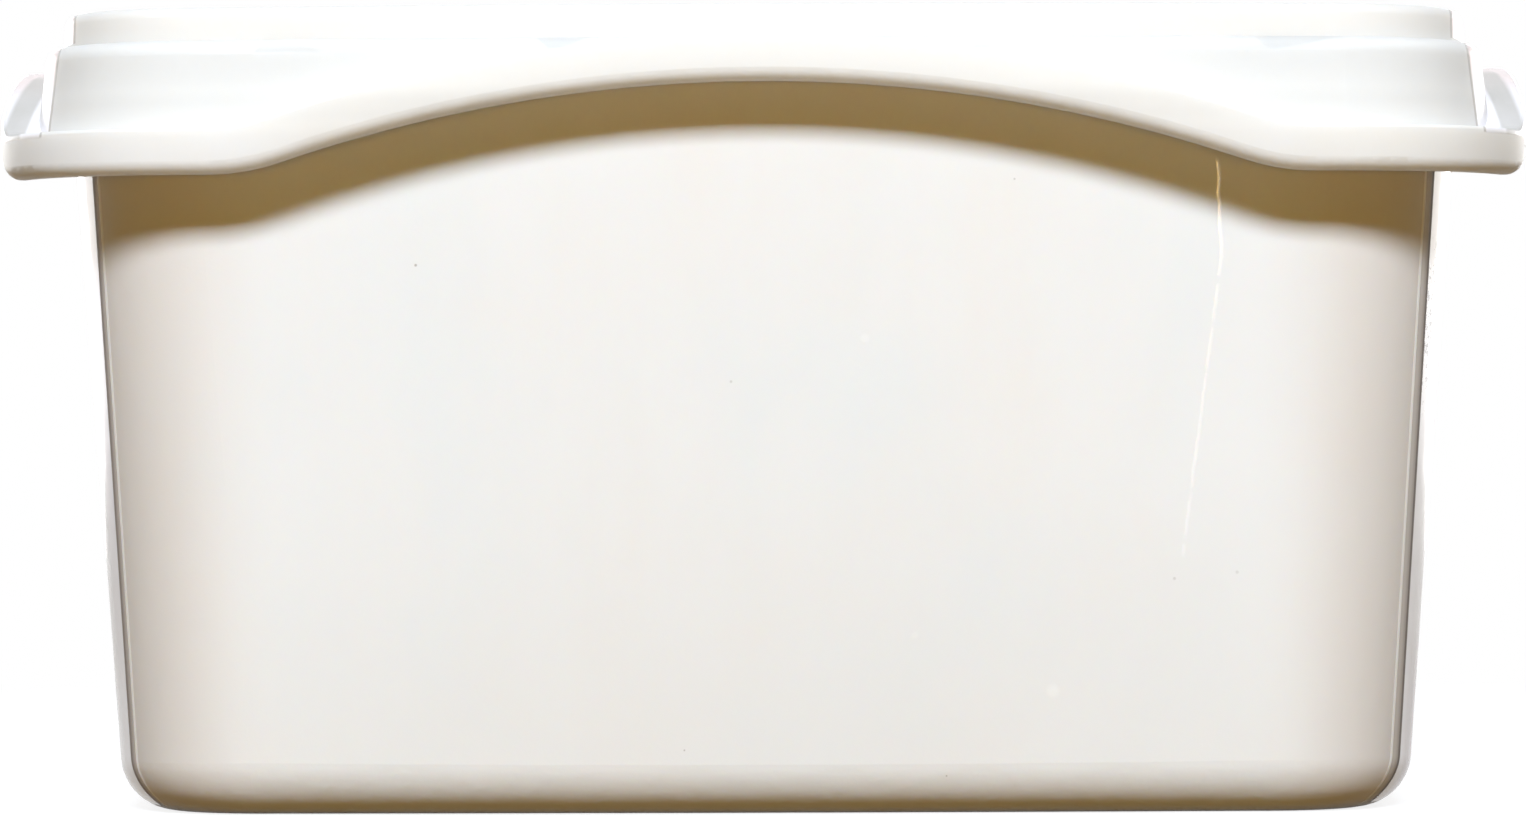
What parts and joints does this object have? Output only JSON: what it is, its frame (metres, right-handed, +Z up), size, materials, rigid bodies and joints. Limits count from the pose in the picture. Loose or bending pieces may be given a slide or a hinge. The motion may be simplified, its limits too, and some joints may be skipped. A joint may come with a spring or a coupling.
{
  "type": "cheese tub",
  "caption": "Shut rectangular plastic cheese tub with drafted walls, round corners and a stepped press-on lid whose flange arches up on every side.",
  "frame": {"origin": "centre of the foot ring's underside, on the surface that the tub stands on", "axes": "+X along the long side, -Y out of the plain front side, +Z up through the lid"},
  "size_m": [0.1304, 0.097, 0.0671],
  "materials": {
    "tub": "fine matte moulded polypropylene, warm white",
    "lid": "satin moulded polypropylene, white"
  },
  "bodies": {
    "root": {"tub": "tub", "lid": "lid"}
  },
  "joints": []
}
